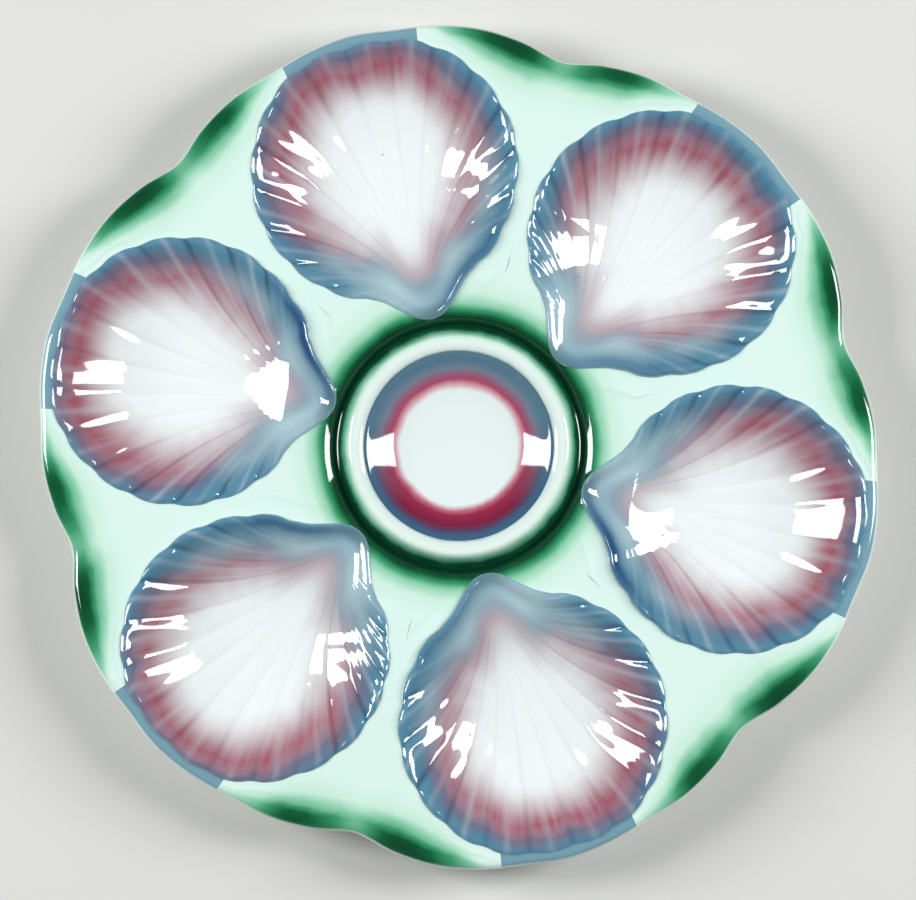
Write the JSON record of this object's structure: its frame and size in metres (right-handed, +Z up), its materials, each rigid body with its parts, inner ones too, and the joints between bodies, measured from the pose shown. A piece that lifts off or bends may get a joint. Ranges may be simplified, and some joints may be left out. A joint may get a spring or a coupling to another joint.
{
  "type": "oyster plate",
  "caption": "Round scalloped plate with shell-shaped oyster wells about a central sauce cup, on a foot ring.",
  "frame": {"origin": "centre of the plate, on the flat face of the foot ring that it stands on", "axes": "+Z up, out of the wells; the first well's middle line is at 45 degrees between +X and +Y, and the others follow every 60 degrees"},
  "size_m": [0.2358, 0.238, 0.0219],
  "materials": {
    "mint_glaze": "gloss",
    "edge_glaze": "gloss",
    "shell_glaze": "gloss",
    "ring_glaze": "gloss",
    "cup_glaze": "gloss",
    "bare_foot": "matte"
  },
  "bodies": {
    "root": {"ground": "mint_glaze", "rim_edge": "edge_glaze", "shell_well_1": "shell_glaze", "shell_well_2": "shell_glaze", "shell_well_3": "shell_glaze", "shell_well_4": "shell_glaze", "shell_well_5": "shell_glaze", "shell_well_6": "shell_glaze", "cup_ring": "ring_glaze", "sauce_cup": "cup_glaze", "foot_ring": "bare_foot"}
  },
  "joints": []
}
